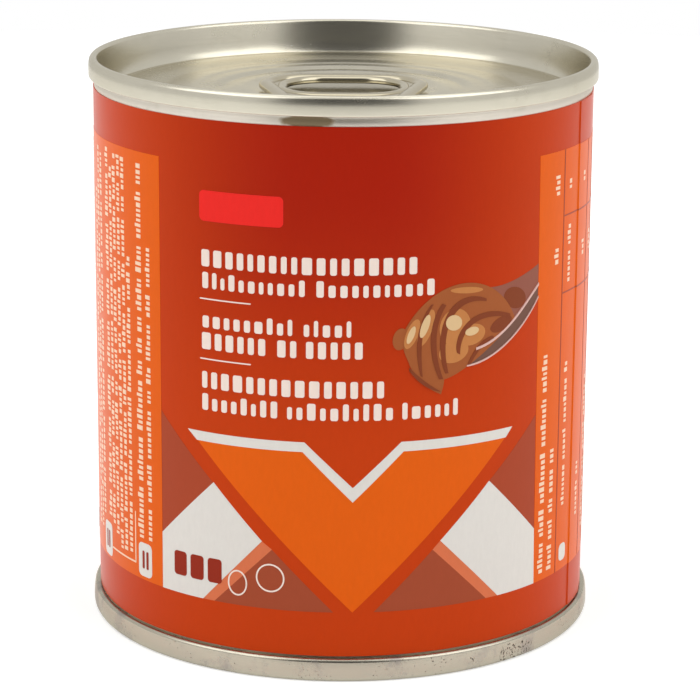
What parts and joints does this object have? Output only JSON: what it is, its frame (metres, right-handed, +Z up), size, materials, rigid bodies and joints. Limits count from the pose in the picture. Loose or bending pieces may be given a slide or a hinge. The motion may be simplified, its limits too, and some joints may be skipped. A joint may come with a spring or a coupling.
{
  "type": "condensed milk can",
  "caption": "Round tinplate food can with double seams, a sunk lid with a ring pull, and a glued paper label in red, orange and white",
  "frame": {"origin": "centre of the ring that the can stands on, on the floor", "axes": "+Z up along the can's axis; the label's front faces -Y; +X is to the right seen from the front"},
  "size_m": [0.0752, 0.0752, 0.0834],
  "materials": {
    "tinplate_wall": "bright tinplate, slightly warm",
    "tinplate_lid": "satin tinplate with a thin clear lacquer",
    "tinplate_base": "bright tinplate, a few dirt specks",
    "tab_steel": "bright stamped steel",
    "label_paper": "gloss coated, printed in fields of colour"
  },
  "bodies": {
    "root": {"can_body": "tinplate_wall", "top_end": "tinplate_lid", "bottom_end": "tinplate_base", "pull_tab": "tab_steel", "label": "label_paper"}
  },
  "joints": []
}
